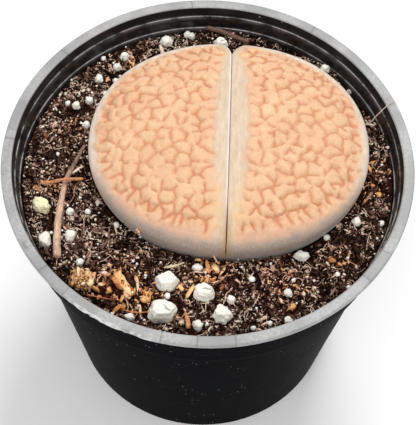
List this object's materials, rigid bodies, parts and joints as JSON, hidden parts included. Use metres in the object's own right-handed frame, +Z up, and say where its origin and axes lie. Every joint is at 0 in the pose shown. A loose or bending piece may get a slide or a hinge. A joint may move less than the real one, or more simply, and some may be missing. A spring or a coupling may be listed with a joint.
{
  "type": "potted lithops",
  "caption": "Living stone succulent with a split, domed leaf body, growing in gritty compost in a round tapered nursery pot that stands on its base.",
  "frame": {"origin": "centre of the pot's footprint, on the surface that it stands on", "axes": "+Z up along the pot's axis, Y along the fissure between the leaves with -Y towards the viewer, +X to the right"},
  "size_m": [0.065, 0.065, 0.0564],
  "materials": {
    "pot_plastic": "thin moulded black plastic, satin, dusty, with a paler scuffed lip",
    "compost": "dark peat crumbs with brown and orange fibres",
    "leaf_skin": "fleshy succulent skin, peach islands parted by salmon grooves, pale grey sides",
    "root_wood": "dry brown root",
    "perlite": "white expanded mineral grain, matt and pitted",
    "bark": "fibrous tan and orange bark",
    "twig_wood": "dry pinkish brown twig"
  },
  "bodies": {
    "root": {"pot": "pot_plastic", "growing_mix": "compost", "leaf_left": "leaf_skin", "leaf_right": "leaf_skin", "taproot": "root_wood", "perlite_01": "perlite", "perlite_02": "perlite", "perlite_03": "perlite", "perlite_04": "perlite", "perlite_05": "perlite", "perlite_06": "perlite", "perlite_07": "perlite", "perlite_08": "perlite", "perlite_09": "perlite", "perlite_10": "perlite", "perlite_11": "perlite", "perlite_12": "perlite", "perlite_13": "perlite", "perlite_14": "perlite", "perlite_15": "perlite", "perlite_16": "perlite", "perlite_17": "perlite", "perlite_18": "perlite", "perlite_19": "perlite", "perlite_20": "perlite", "perlite_21": "perlite", "perlite_22": "perlite", "perlite_23": "perlite", "perlite_24": "perlite", "perlite_25": "perlite", "perlite_26": "perlite", "perlite_27": "perlite", "bark_chip": "bark", "bark_lump": "bark", "bark_tan": "bark", "husk_small": "bark", "straw_upright": "bark", "straw_pale": "bark", "twig_long": "twig_wood", "twig_cross": "twig_wood", "twig_back": "twig_wood", "husk_curved": "twig_wood", "twig_orange": "twig_wood"}
  },
  "joints": []
}
